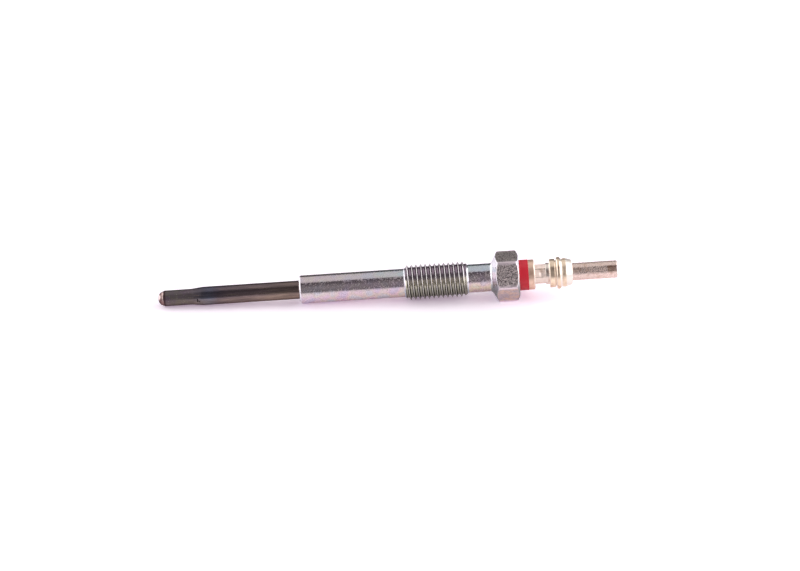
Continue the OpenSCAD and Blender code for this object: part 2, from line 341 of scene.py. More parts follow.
class Finish:
    """A material with one Principled shader, and the coordinates that its patterns use."""

    def __init__(self, name):
        self.material = bpy.data.materials.new(name)
        self.wire = open_graph(self.material)
        self.place = self.wire.node("ShaderNodeTexCoord", output="Object")
        self.x, self.y, self.z = self.place.parts()
        self.radius = self.wire.math("SQRT", self.y * self.y + self.z * self.z)
        along = self.wire.node("ShaderNodeTexCoord", output="Normal").parts()[0]
        self.lean = self.wire.math("ABSOLUTE", along)
        self.height = self.z / (self.radius + axis_guard)

    def grain(self, size, detail=2.0, stretch=1.0):
        """Noise from 0 to 1 with spots of a size in metres, drawn out along the axis by stretch."""
        scale = (1 / stretch, 1, 1)
        place = self.wire.node("ShaderNodeMapping", {"vector_type": "POINT"}, {0: self.place, 3: scale})
        inputs = {"Vector": place, "Scale": 1 / size, "Detail": detail}
        return self.wire.node("ShaderNodeTexNoise", inputs=inputs)

    def close(self, colour, roughness, metallic=1.0, bump=None, depth=0.0, edge=1.0):
        """Joins everything to a Principled shader.

        Bump is a height from 0 to 1 and depth its size in metres. Edge is how bright metal is at its rim.
        """
        inputs = {"Base Color": colour, "Roughness": roughness, "Metallic": metallic}
        inputs["Specular Tint"] = (edge, edge, edge, 1.0)
        if bump is not None:
            inputs["Normal"] = self.wire.node("ShaderNodeBump", inputs={"Distance": depth, "Height": bump})
        shader = self.wire.node("ShaderNodeBsdfPrincipled", inputs=inputs)
        self.wire.node("ShaderNodeOutputMaterial", inputs={"Surface": shader})
        print("finish", self.material.name, "has", len(self.wire.tree.nodes), "nodes")
        return self.material


# %% [markdown]
# ## Zinc plating
# The shell is steel with a thin zinc coat, sealed by a bath that leaves a faint rainbow. One image could be
# wrapped around it, but the film follows the surface, so its colours are mixed here by the place along the
# axis and by the height around it, with soft clouds on top. Their change with height is painted reflection:
# greyish and bluish above, pink and straw below, paler at the bottom. The cones and the thread take painted
# highlights above and painted reflection below, and the thread's groove painted shade. The hexagon keeps the
# grain of the bar it was made from, so there the metal is darker, rougher and bumpy. Its top face has painted
# shade, its lower faces a painted reflection with stains, and its corners are bright from wear and a painted
# highlight.


# %% Zinc film
def zinc_film_and_reflection(finish, along, above):
    """The plate's colours along the axis under rainbow clouds, with painted reflection by height around it.
    """
    # Painted reflection: greyish and bluish above, pink and straw below.
    top = finish.height.step(0.72, 0.9)
    high = along.blend(paint(208, 197, 201), paint(190, 206, 213))
    low = along.ramp([
        (0.0, paint(196, 192, 204)),
        (0.16, paint(200, 178, 192)),
        (0.45, paint(194, 178, 198)),
        (0.75, paint(204, 182, 182)),
        (1.0, paint(202, 188, 168)),
    ])
    # Painted light: paler towards the bottom.
    deep = 1 - finish.height.step(-0.35, 0.08)
    low = (deep * 0.45).blend(low, along.blend(paint(236, 222, 226), paint(230, 216, 196)))
    film = above.blend(low, top.blend(paint(212, 200, 208), high))
    rainbow = finish.grain(3.4 * MM).ramp([
        (0.34, paint(184, 172, 206)),
        (0.44, paint(220, 180, 196)),
        (0.54, paint(216, 198, 164)),
        (0.66, paint(184, 200, 202)),
    ])
    return ((1 - above * 0.6) * 0.45).blend(film, rainbow)


# %% Zinc on the cones and in the groove
def cone_glint(finish, above):
    """Painted highlight and reflection on what leans: the sealing ring, the rings at the thread's ends and
    the head's cone.
    """
    by_head = finish.x.step(neck_x + 1.0 * MM, neck_x + 2.0 * MM)
    film = by_head.blend(paint(200, 212, 220), paint(150, 160, 160))
    film = above.blend(film, paint(236, 231, 240))
    past_edge = finish.x.step(-0.2 * MM, 0.2 * MM)
    return past_edge.blend(paint(240, 236, 242), film)


def groove_shade(finish):
    """Painted shade and reflection down in the thread's groove: dark olive at the height of the axis, pale a
    little higher, dark violet on top.
    """
    return (finish.height * 0.5 + 0.5).ramp([
        (0.5, paint(126, 124, 110)),
        (0.62, paint(196, 191, 170)),
        (0.76, paint(200, 191, 178)),
        (0.84, paint(150, 140, 146)),
        (0.95, paint(126, 102, 122)),
    ])


# %% Zinc on the hexagon
def hex_faces_and_light(finish, worn_glint, under, pits):
    """Pitted grey on the upper faces, painted shade on the top one, a painted reflection with stains below,
    and corners bright from wear and a painted highlight.
    """
    rough_face = pits.step(0.38, 0.62).blend(paint(114, 104, 106), paint(234, 220, 218))
    # Painted shade on the top face.
    top_face = finish.height.step(0.84, 0.9)
    rough_face = (top_face * 0.26).blend(rough_face, paint(84, 80, 80))
    # Painted reflection of the table on the lower faces, with stains.
    stains = finish.grain(1.8 * MM, detail=3.0).step(0.4, 0.6)
    smooth_face = stains.blend(paint(214, 186, 168), paint(182, 168, 174))
    face = (under * 0.8).blend(rough_face, smooth_face)
    # Corners bright from wear and a painted highlight.
    return (worn_glint * 0.85).blend(face, paint(234, 218, 224))


# %% Zinc finish
def make_zinc():
    """Zinc plate: the film with dull specks, then the cones, the thread and the hexagon laid over it."""
    finish = Finish("zinc_plate")
    along = finish.x.step(0.0, neck_x)
    above = finish.height.step(-0.35, 0.45)
    behind = (finish.y / (finish.radius + axis_guard)).step(-0.4, 0.3)
    speckle = finish.grain(0.28 * MM, detail=3.0)
    film = zinc_film_and_reflection(finish, along, above)
    film = (speckle.step(0.4, 0.75) * 0.32).blend(film, paint(128, 120, 126))

    in_thread = finish.x.step(thread_x + 0.3 * MM, thread_x + 0.5 * MM)
    in_thread = in_thread - finish.x.step(neck_x - 0.5 * MM, neck_x - 0.3 * MM)
    # Painted highlight and reflection on the cones: near white above, bluish grey below.
    cone = finish.lean.step(0.25, 0.42) * (1 - in_thread)
    film = (cone * 0.9).blend(film, cone_glint(finish, above))
    # Painted highlight and reflection on the thread: near white above, olive grey below.
    film = in_thread.blend(film, above.blend(paint(192, 189, 180), paint(236, 231, 232)))
    # Painted shade in the thread's groove.
    groove = in_thread * (1 - finish.radius.step(thread_r - 0.3 * MM, thread_r - 0.03 * MM))
    film = (groove * 0.85).blend(film, groove_shade(finish))

    on_head = finish.x.step(head_x + 1.0 * MM, head_x + 1.2 * MM)
    on_head = on_head * finish.radius.step(flat_r * 0.97, flat_r)
    bar = on_head * (1 - finish.lean.step(0.2, 0.45))
    # Corners bright from wear and a painted highlight.
    worn_glint = finish.radius.step(corner_r * 0.945, corner_r * 0.98)
    # The lower faces: less grit, and a painted reflection of the table in their colour.
    under = 1 - finish.height.step(-0.1, 0.0)
    pits = finish.grain(0.28 * MM, detail=4.0)
    film = bar.blend(film, hex_faces_and_light(finish, worn_glint, under, pits))
    gritty = bar * (1 - worn_glint * 0.6) * (1 - under * 0.6)

    specks = finish.grain(0.4 * MM).step(0.5, 0.64)
    specks = specks * (0.5 + along * 0.3) * (1 - in_thread) * (1 - behind * 0.75)
    roughness = 0.15 + specks * 0.4 + bar * 0.2 + in_thread * 0.09
    bump = speckle * (1 - bar) * (1 - in_thread) * (1 - behind * 0.6) * 0.2 + pits * gritty * 0.85
    return finish.close(film, roughness, bump=bump, depth=0.044 * MM, edge=0.72)


zinc = make_zinc()

# %% [markdown]
# ## Heat-tinted tube
# The heater tube is a nickel alloy that has been glowing hot, which leaves oxide colours: olive at the drawn
# down tip, a blue band behind the taper, brown further back. A colour ramp along the axis holds them, and
# noise that is drawn out along the tube gives the fine lines of drawing it to size.

# %% Tube finish
# Each stroke of the nick has a place along the axis, a height, half a width and half a height.
nick_strokes = (
    (-28.18 * MM, -0.05 * MM, 0.17 * MM, 0.52 * MM),
    (-27.68 * MM, -0.42 * MM, 0.17 * MM, 0.17 * MM),
)


def make_tinted():
    """Oxide colours by the place along the tube, with lines along the axis and a matt, blotched tip."""
    finish = Finish("tinted_tube")
    wander = (finish.grain(2.5 * MM) - 0.5) * 2.5 * MM
    colour = ((finish.x + wander - tip_x) / (0 - tip_x)).ramp([
        (0.0, paint(112, 102, 104)),
        (0.24, paint(106, 98, 100)),
        (0.31, paint(94, 94, 104)),
        (0.36, paint(94, 100, 118)),
        (0.42, paint(92, 84, 94)),
        (0.5, paint(112, 98, 100)),
        (0.72, paint(124, 108, 106)),
        (0.9, paint(134, 117, 106)),
        (1.0, paint(124, 106, 102)),
    ])
    # Painted reflection: darker and violet on top, paler golden brown below.
    above = finish.height.step(0.2, 0.7)
    colour = (above * 0.35).blend(colour, paint(94, 84, 96))
    below = 1 - finish.height.step(-0.2, 0.3)
    colour = (below * 0.3).blend(colour, paint(160, 138, 118))
    lines = finish.grain(0.35 * MM, detail=4.0, stretch=18.0)
    colour = (lines.step(0.42, 0.7) * 0.55).blend(colour, paint(80, 70, 72))
    colour = ((1 - lines.step(0.28, 0.44)) * 0.5).blend(colour, paint(160, 138, 122))
    on_tip = 1 - finish.x.step(tip_x + tip_len - 2 * MM, tip_x + tip_len + 2 * MM)
    blotches = finish.grain(1.4 * MM).ramp([
        (0.38, paint(100, 84, 96)),
        (0.5, paint(92, 86, 86)),
        (0.62, paint(104, 98, 86)),
    ])
    colour = (on_tip * 0.6).blend(colour, blotches)
    spots = finish.grain(0.3 * MM)
    colour = (spots.step(0.6, 0.7) * on_tip * 0.6).blend(colour, paint(162, 150, 154))
    rim = 1 - finish.x.step(tube_front_x + 0.25 * MM, tube_front_x + 0.8 * MM)
    colour = (rim * 0.8).blend(colour, paint(62, 40, 46))
    # Painted shade: the strokes of the nick are painted near black, on the side towards -Y.
    side = (0 - finish.y).step(-0.2 * tube_r, 0.2 * tube_r)
    for place, height, wide, tall in nick_strokes:
        across = finish.wire.math("ABSOLUTE", finish.x - place)
        up = finish.wire.math("ABSOLUTE", finish.z - height)
        stroke = (1 - across.step(wide * 0.6, wide * 1.3)) * (1 - up.step(tall * 0.8, tall * 1.2)) * side
        colour = stroke.blend(colour, paint(18, 14, 16))
    roughness = 0.2 + lines * 0.16 + on_tip * 0.2
    bump = lines + spots * on_tip
    return finish.close(colour, roughness, bump=bump, depth=0.012 * MM, edge=0.45)


tinted = make_tinted()

# %% [markdown]
# ## Bare weld and red moulding
# Two smaller finishes. The weld is bare coppery metal with an uneven skin. One spot on it is a painted
# highlight, and behind its seam the upper half is paler, also a painted highlight. Noise alone could not put
# that spot where it is, so it is drawn by the distance from a point. The red washer is moulded plastic, not
# metal.

# %% Weld and red
seam_x = tip_x + 1.05 * MM
# The centre of a painted highlight on the weld.
highlight_spot = (tip_x + 0.4 * MM, -0.75 * MM, 0.75 * MM)


def make_weld():
    """Bare weld metal, coppery and dark, with an uneven skin, a painted highlight spot and a painted
    highlight on its upper rim.
    """
    finish = Finish("bare_weld")
    skin = finish.grain(0.7 * MM)
    colour = skin.step(0.35, 0.65).blend(paint(92, 68, 68), paint(134, 106, 104))
    points = {0: finish.place, 1: highlight_spot}
    away = finish.wire.node("ShaderNodeVectorMath", {"operation": "DISTANCE"}, points, output=1)
    # Painted highlight around that spot.
    colour = (1 - away.step(0.45 * MM, 0.95 * MM)).blend(colour, paint(250, 230, 226))
    # Painted highlight on the upper half behind the seam.
    rim = finish.x.step(seam_x + 0.08 * MM, seam_x + 0.2 * MM) * finish.height.step(-0.1, 0.5)
    colour = (rim * 0.7).blend(colour, paint(216, 192, 188))
    return finish.close(colour, 0.14 + skin * 0.12, bump=skin, depth=0.05 * MM, edge=0.5)


def make_red():
    """Red moulded plastic with a satin skin."""
    finish = Finish("red_moulding")
    skin = finish.grain(0.4 * MM, detail=3.0)
    colour = (skin * 0.3).blend(paint(202, 24, 46), paint(180, 20, 36))
    return finish.close(colour, 0.38 + skin * 0.15, metallic=0.0, bump=skin, depth=0.01 * MM)


weld_metal = make_weld()
red = make_red()

# %% [markdown]
# ## Pale nickel
# The ring and the terminal are nickel plated, warm and smooth, with straw-coloured stains. The finish changes
# along the axis: a satin ring, a pale sleeve, a golden collar and a speckled pin. A tool has crimped the
# sleeve, and two broken dark lines of painted shade run along the upper and the lower edge of its mark. The
# chamfers and the collar's rear cone carry a painted highlight, and the slot in the pin painted shade.

# %% Crimp marks
dent_x = (sleeve_x + 0.9 * MM, sleeve_x + 2.75 * MM)
dent_top, dent_foot = 0.84, 0.13

# Each line of painted shade has a height around the axis, half a width and a strength.
crimp_shade_lines = ((dent_top, 0.05, 0.9), (dent_foot, 0.07, 0.5))


def crimp_shade(finish, colour, side):
    """Blends a broken dark line of painted shade into the colour at the height of each of these lines."""
    broken = 0.4 + finish.grain(0.4 * MM).step(0.4, 0.55) * 0.6
    for height, half_line, strength in crimp_shade_lines:
        away = finish.wire.math("ABSOLUTE", finish.height - height)
        line = (1 - away.step(0.4 * half_line, half_line)) * side
        colour = (line * broken * strength).blend(colour, paint(96, 80, 52))
    return colour


def dent_mask(finish):
    """1 in the crimp's dent and 0 elsewhere: a soft window along the axis times one in height."""
    soft_x, soft_height = 0.4 * MM, 0.15
    mask = finish.x.step(dent_x[0], dent_x[0] + soft_x) * (1 - finish.x.step(dent_x[1] - soft_x, dent_x[1]))
    mask = mask * finish.height.step(dent_foot, dent_foot + soft_height)
    return mask * (1 - finish.height.step(dent_top - soft_height, dent_top))


# %% Nickel finish
rear_cone_x = pin_x - 1.75 * MM


def make_nickel():
    """Warm nickel plate: a satin ring, a pale sleeve, a golden collar and a speckled pin, with stains,
    painted shade at the crimp and in the slot, and a painted highlight on chamfers and the rear cone.
    """
    finish = Finish("pale_nickel")
    past_ring = finish.x.step(sleeve_x - 0.1 * MM, sleeve_x + 0.05 * MM)
    on_collar = finish.radius.step(pin_r * 1.2, pin_r * 1.35) * past_ring
    on_sleeve = past_ring * (1 - finish.x.step(sleeve_x + 2.7 * MM, sleeve_x + 2.95 * MM))
    on_pin = finish.x.step(pin_x - 0.2 * MM, pin_x + 0.2 * MM)
    crimped_side = (0 - finish.y).step(0.0, 0.4 * rod_r)
    colour = past_ring.blend(paint(234, 201, 180), paint(234, 222, 214))
    colour = on_collar.blend(colour, paint(242, 219, 193))
    colour = on_sleeve.blend(colour, paint(250, 229, 219))
    # Painted shade along the upper and lower edge of the crimp.
    colour = crimp_shade(finish, colour, on_sleeve * crimped_side)
    colour = on_pin.blend(colour, paint(232, 209, 199))
    stains = finish.grain(1.3 * MM, detail=4.0)
    colour = (stains.step(0.5, 0.75) * 0.6).blend(colour, paint(190, 150, 124))
    spots = finish.grain(0.22 * MM, detail=3.0)
    colour = (spots.step(0.5, 0.7) * on_pin * 0.34).blend(colour, paint(140, 122, 114))

    rear_cone = finish.x.step(rear_cone_x, rear_cone_x + 0.1 * MM) * on_collar
    rear_ring = finish.x.step(rear_cone_x - 1.0 * MM, rear_cone_x - 0.9 * MM) * on_collar
    # Painted highlight: the chamfers and the collar's rear cone are made near white.
    chamfer = finish.lean.step(0.45, 0.7)
    pale = rear_cone + chamfer - rear_cone * chamfer
    colour = (pale * 0.85).blend(colour, paint(250, 243, 236))
    # Painted shade in the slot: darker brown where the pin is cut away.
    in_slot = on_pin * (1 - finish.radius.step(pin_r - 0.2 * MM, pin_r - 0.05 * MM))
    slot_shade = spots.step(0.4, 0.6).blend(paint(212, 190, 178), paint(150, 128, 118))
    colour = (in_slot * (1 - chamfer)).blend(colour, slot_shade)

    matt = finish.grain(0.3 * MM, detail=3.0).step(0.4, 0.62)
    roughness = 0.24 + (1 - past_ring) * 0.14 + on_pin * (matt * 0.25 - 0.04) + rear_cone * 0.08
    roughness = roughness + stains * 0.1 + in_slot * 0.2 + on_sleeve * 0.1
    in_dent = dent_mask(finish) * crimped_side
    metallic = 1 - on_sleeve * (0.7 - in_dent * 0.4) - rear_ring * 0.25
    bump = spots * (0.3 + on_pin * 0.5)
    return finish.close(colour, roughness, metallic, bump=bump, depth=0.02 * MM)


nickel = make_nickel()

# %% [markdown]
# ## What is hidden inside
# The rod, the coils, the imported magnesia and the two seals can't be seen, but they are in the model, and
# whoever takes it apart sees them. Their CAD solids have the right shape, so they only get a finish.


# %% Inner finishes
def make_plain(name, colour, other, size, roughness, metallic):
    """Two colours mixed by noise of one grain size."""
    finish = Finish(name)
    grain = finish.grain(size, detail=3.0)
    mixed = grain.step(0.3, 0.7).blend(paint(*colour), paint(*other))
    return finish.close(mixed, roughness + grain * 0.15, metallic, bump=grain, depth=0.02 * MM)


wire_grain, dust_grain, rubber_grain, rod_grain = 0.2 * MM, 0.3 * MM, 0.4 * MM, 0.5 * MM

# Each node has a finish's name, two colours, a grain size, a roughness, and 1 for metal or 0.
inner = {
    "heater_coil": ("heater_wire", (150, 140, 136), (110, 102, 100), wire_grain, 0.3, 1),
    "control_coil": ("control_wire", (170, 160, 150), (130, 120, 112), wire_grain, 0.3, 1),
    "magnesia_fill": ("magnesia", (236, 233, 226), (214, 210, 202), dust_grain, 0.8, 0),
    "tube_seal": ("seal_rubber", (52, 50, 50), (38, 36, 36), rubber_grain, 0.6, 0),
    "body_seal": ("ring_rubber", (44, 42, 42), (32, 30, 30), rubber_grain, 0.55, 0),
    "centre_rod": ("rod_steel", (176, 174, 174), (150, 148, 148), rod_grain, 0.25, 1),
}
for node, looks in inner.items():
    materials = frame["nodes"][node].data.materials
    materials.clear()
    materials.append(make_plain(*looks))
print("dressed inside:", ", ".join(inner))

# %% [markdown]
# ## Putting a piece into the scene
# Each visible piece takes the place of its CAD node: it rides on the model's one body, it says which
# node it stands for, and that node is hidden.


# %% Piece helper
def add_piece(mesh, material, node):
    """Makes the object, gives it its finish and ties it to the frame."""
    piece = bpy.data.objects.new(mesh.name, mesh)
    bpy.context.scene.collection.objects.link(piece)
    mesh.materials.append(material)
    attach(piece, "root")
    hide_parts(node)
    print(piece.name, "stands for", node)
    return piece


# %% [markdown]
# ## Glow tube and its weld
# The tube is drawn down to a smaller tip in a swaging machine, so the taper has soft ends. Near it is
# a small dark nick on the side towards the camera. It could be cut with a Boolean, but it is only a dent, so
# the radius drops there by a bell curve. The weld dome is a quarter of an ellipse with a shallow seam.

# %% Glow tube
nick_depth = 0.07 * MM
nick_zone = np.linspace(-28.7, -27.2, 25) * MM


def nicked(x, radius, angle):
    """Lowers the outside by a bell curve about each stroke of the nick, on the side towards -Y."""
    outside = (radius > tip_r * 0.97) & (np.cos(angle) < 0)
    lowered = radius
    for place, height, wide, tall in nick_strokes:
        away = ((x - place) / wide) ** 2 + ((radius * np.sin(angle) - height) / tall) ** 2
        lowered = lowered - outside * nick_depth * np.exp(-away)
    return lowered


taper_x = tip_x + tip_len
taper_back_x = taper_x + taper_len
taper_round, bore_round = 5 * MM, 2.5 * MM
tube_outline = rounded([
    (tube_front_x, tip_r - tube_wall, 0),
    (tube_front_x, tip_r, 0.15 * MM),
    (taper_x, tip_r, taper_round),
    (taper_back_x, tube_r, taper_round),
    (tube_back_x, tube_r, 0.1 * MM),
    (tube_back_x, tube_r - tube_wall, 0),
    (taper_back_x, tube_r - tube_wall, bore_round),
    (taper_x, tip_r - tube_wall, bore_round),
], steps=7)
tube_grid = turned(crossed(tube_outline, nick_zone), full_turn, True, nicked)
tube_mesh = mesh_from_grid("glow_tube_dressed", tube_grid)
add_piece(tube_mesh, tinted, "glow_tube")

# %% Weld dome
seam_share = 0.05
seam_width = 0.12 * MM
quarter = np.linspace(0, np.pi / 2, 40)
dome_x = tube_front_x - (tube_front_x - tip_x) * np.cos(quarter)
seam = 1 - seam_share * np.exp(-((dome_x - seam_x) / seam_width) ** 2)
dome = np.stack([dome_x, dome_r * np.sin(quarter) * seam], -1)
plug_r = tip_r - tube_wall
root = [(tube_front_x, plug_r), (weld_back_x, plug_r), (weld_back_x, 0.0)]
weld_outline = fresh_rows(np.concatenate([dome, root]))
weld_mesh = mesh_from_grid("tip_weld_dressed", turned(weld_outline, full_turn, False))
add_piece(weld_mesh, weld_metal, "tip_weld")

# %% [markdown]
# ## The shell
# The shell is one piece: cone, shank, thread, neck and hexagon. The shank and the neck are plain turned
# stretches. The thread is a radius that depends on both x and the angle. On the hexagon the place of each
# row depends on the angle too, so that its scalloped chamfers fall exactly on rows of the grid.

# %% Columns of the shell
corner_reach = 30 - math.degrees(math.atan((flat_r - hex_corner_round) * math.tan(math.pi / 6) / flat_r))
# A corner is 30 degrees from the middle of a flat, and its arc takes the first few of them.
near_corner = np.linspace(0, corner_reach, 6)
on_flat = np.linspace(corner_reach * 1.25, 30, 13)
half_side = np.concatenate([near_corner, on_flat])
other_half = 60 - half_side[-2:0:-1]
one_side = np.concatenate([half_side, other_half])
around = np.radians(np.concatenate([one_side + 60 * k for k in range(6)] + [[360.0]]))
print("the shell has", len(around) - 1, "columns")


# %% Hexagon bar
def bar_radius(angle):
    """Distance from the axis to a hexagon with rounded corners, which lie at 0, 60, 120 degrees.

    On a flat it is flat_r / cos(angle from the flat's middle). Near a corner it is the far crossing of the
    ray with the corner's circle, d cos(a) + sqrt(round^2 - d^2 sin^2(a)), where d is the circle's distance.
    """
    away = np.abs((angle + np.pi / 6) % (np.pi / 3) - np.pi / 6)
    flat = flat_r / np.cos(np.pi / 6 - away)
    d = (flat_r - hex_corner_round) / math.cos(math.pi / 6)
    arc = d * np.cos(away) + np.sqrt(np.maximum(hex_corner_round ** 2 - (d * np.sin(away)) ** 2, 0))
    return np.where(away <= math.radians(corner_reach) + tiny, arc, flat)


def corner_rows(before, corner, after, steps=5):
    """Rounds an edge that runs around the piece: a curve from before to after, pulled to the corner."""
    t = np.linspace(0, 1, steps)[:, None, None]
    return (1 - t) ** 2 * before + 2 * t * (1 - t) * corner + t ** 2 * after


across = 2 * bar_radius(np.array([np.pi / 6, 0.0])) / MM
print("across flats and corners:", np.round(across, 2).tolist(), "mm")


# %% Thread
# A metric thread is 17/24 as deep as the sharp triangle that it is cut from.
thread_depth = 17 / 24 * thread_pitch * math.cos(math.pi / 6)
thread_root_r = thread_r - thread_depth
crest_round = 0.09 * MM
flank = math.radians(24)
end_ring = 0.45 * MM
rear_lean = math.radians(35)
first_crest_x = 28.92 * MM
first_crest_angle = math.radians(64)
spare_turns = 3


def thread_profile():
    """One pitch of the thread, as places from crest to crest and heights above the root.

    The crest is an arc that leans over to the steep flanks. Where the flanks reach the root, a flat
    stretch joins them.
    """
    lean = np.linspace(0, np.pi / 2 - flank, 6)
    arc = np.stack([crest_round * np.sin(lean), thread_depth - crest_round * (1 - np.cos(lean))], -1)
    foot = arc[-1, 0] + arc[-1, 1] * math.tan(flank)
    down = np.stack([np.linspace(arc[-1, 0], foot, 4)[1:], np.linspace(arc[-1, 1], 0, 4)[1:]], -1)
    half = np.concatenate([arc, down])
    mirrored = half[:0:-1] * [-1, 1] + [thread_pitch, 0]
    return np.concatenate([half, mirrored])


def thread_rows():
    """Rows of the thread that wind around with its right-hand helix, so each crest is one row.

    A row's place is its place in the profile plus one pitch for each turn of the angle, and spare turns at
    both ends leave no column short. Places outside the thread are held at its ends, and there it may not
    stand above a cone, which leans 45 degrees in front and rear_lean behind. The foot of each cone is a
    whole ring.
    """
    profile = thread_profile()
    turns = math.ceil(thread_len / thread_pitch)
    whole = np.arange(-spare_turns, turns + spare_turns - 1)[:, None]
    start = (first_crest_x + whole * thread_pitch + profile[:, 0]).reshape(-1, 1)
    height = np.tile(profile[:, 1], len(whole))[:, None]
    x = start + thread_pitch * (around - first_crest_angle) / (2 * np.pi)
    held = np.clip(x, thread_x, neck_x)
    front_cone = shank_r + held - thread_x
    rear_cone = neck_r + (neck_x - held) * math.tan(rear_lean)
    radius = np.minimum(thread_root_r + height, np.minimum(front_cone, rear_cone))
    radius = np.where(held - thread_x < end_ring, front_cone, radius)
    radius = np.where(neck_x - held < end_ring, rear_cone, radius)
    return np.stack([held, radius], -1)


print("thread depth", round(thread_depth / MM, 3), "mm,", len(thread_profile()), "rows a pitch")


# %% Hexagon
edge_round = 0.16 * MM
edge_hold = 1.4 * edge_round
cone_rows = np.linspace(0.06, 1, 6)[:, None, None]
flat_rows = np.linspace(0, 1, 4)[:, None, None]


def head_rows():
    """Rows of the head: cone, front edge, flat and rear edge. Each edge follows the bar."""
    bar = bar_radius(around)
    cone_foot = neck_r + neck_fillet * (1 - math.sin(hex_lean))
    front = np.stack([head_x + (bar - neck_r) * hex_slope, bar], -1)
    rear = np.stack([head_back_x - (bar - hex_face_r) * hex_slope, bar], -1)
    up_cone = np.array([math.sin(hex_lean), math.cos(hex_lean)])
    down_cone = up_cone * [1, -1]
    along = np.array([1.0, 0.0])
    foot = np.stack([head_x + (cone_foot - neck_r) * hex_slope + 0 * bar, cone_foot + 0 * bar], -1)
    cone = foot + cone_rows * (front - edge_hold * up_cone - foot)
    front_edge = corner_rows(front - edge_round * up_cone, front, front + edge_round * along)
    flat = front + edge_hold * along + flat_rows * (rear - front - 2 * edge_hold * along)
    rear_edge = corner_rows(rear - edge_round * along, rear, rear + edge_round * down_cone)
    return np.concatenate([cone, front_edge, flat, rear_edge])


def spread(outline):
    """Repeats a plain profile for every column of the shell."""
    return np.repeat(np.asarray(outline)[:, None], len(around), axis=1)


# %% Plain stretches of the shell
bore_r = 2.7 * MM
gland_x = spigot_x - 1.3 * MM
rim_len = 0.3 * MM
front_part = rounded([
    (cone_x, tube_r, 0),
    (cone_x, shank_r - 3 * cone_depth, 0.05 * MM),
    (cone_x / 2, shank_r - cone_depth / 2, 0.04 * MM),
    (0, shank_r, 0.06 * MM),
    (thread_x, shank_r, 0),
])
# A second row close behind the thread's end keeps its shading from spreading over the neck.
neck_start = [(neck_x, neck_r), (neck_x + 0.06 * MM, neck_r)]
fillet_turn = np.linspace(-math.pi / 2, -hex_lean, 8)
fillet_x = head_x - neck_fillet * math.tan(math.pi / 4 - hex_lean / 2)
neck_part = np.stack([
    fillet_x + neck_fillet * np.cos(fillet_turn),
    neck_r + neck_fillet * (1 + np.sin(fillet_turn)),
], -1)
rear_part = rounded([
    (head_back_x - rim_len * hex_slope, hex_face_r + rim_len, 0),
    (head_back_x, hex_face_r, 0.1 * MM),
    (head_back_x, gland_r, 0),
    (gland_x, gland_r, 0),
    (gland_x, bore_r, 0),
    (tube_back_x, bore_r, 0),
    (tube_back_x, tube_r, 0),
])
print("plain rows in front, on the neck and at the rear:", len(front_part), len(neck_part), len(rear_part))

# %% Shell
shell_profile = np.concatenate([
    spread(front_part),
    thread_rows(),
    spread(neck_start),
    spread(neck_part),
    head_rows(),
    spread(rear_part[1:]),
    spread(front_part[:1]),
])
shell_grid = np.stack([
    shell_profile[..., 0],
    shell_profile[..., 1] * np.cos(around),
    shell_profile[..., 1] * np.sin(around),
], -1)
add_piece(mesh_from_grid("shell_dressed", shell_grid), zinc, "shell")

# %% [markdown]
# ## Red washer and pale ring
# Both are plain rings with softened edges. The washer has a spigot that reaches into the shell and keeps it
# centred around the rod. Cylinders with a bevel would look alike, but an outline holds the spigot as well.

# %% Washer and ring
washer_outline = rounded([
    (spigot_x, rod_r, 0),
    (spigot_x, gland_r, 0.1 * MM),
    (head_back_x, gland_r, 0),
    (head_back_x, washer_r, 0.15 * MM),
    (washer_back_x, washer_r, 0.15 * MM),
    (washer_back_x, rod_r, 0),
])
washer_mesh = mesh_from_grid("insulator_dressed", turned(washer_outline, full_turn, True))
add_piece(washer_mesh, red, "insulator")
ring_chamfer = 0.3 * MM
ring_outline = rounded([
    (ring_x, rod_r, 0),
    (ring_x, ring_r, 0.08 * MM),
    (sleeve_x - ring_chamfer, ring_r, 0.12 * MM),
    (sleeve_x, ring_r - ring_chamfer, 0.12 * MM),
    (sleeve_x, rod_r, 0),
])
ring_mesh = mesh_from_grid("clamp_ring_dressed", turned(ring_outline, full_turn, True))
add_piece(ring_mesh, nickel, "clamp_ring")

# %% [markdown]
# ## Terminal
# The terminal has a sleeve, a shoulder, a collar of two rings with a bead between them, and the connector
# pin. The crimp in the sleeve is a square dent, so it is a change of the radius on extra rows of the grid.
# The slot in the pin's end is cut in from one side, past the axis, which a turned grid can't hold, so that
# one cut is made with a Boolean and applied to the mesh.

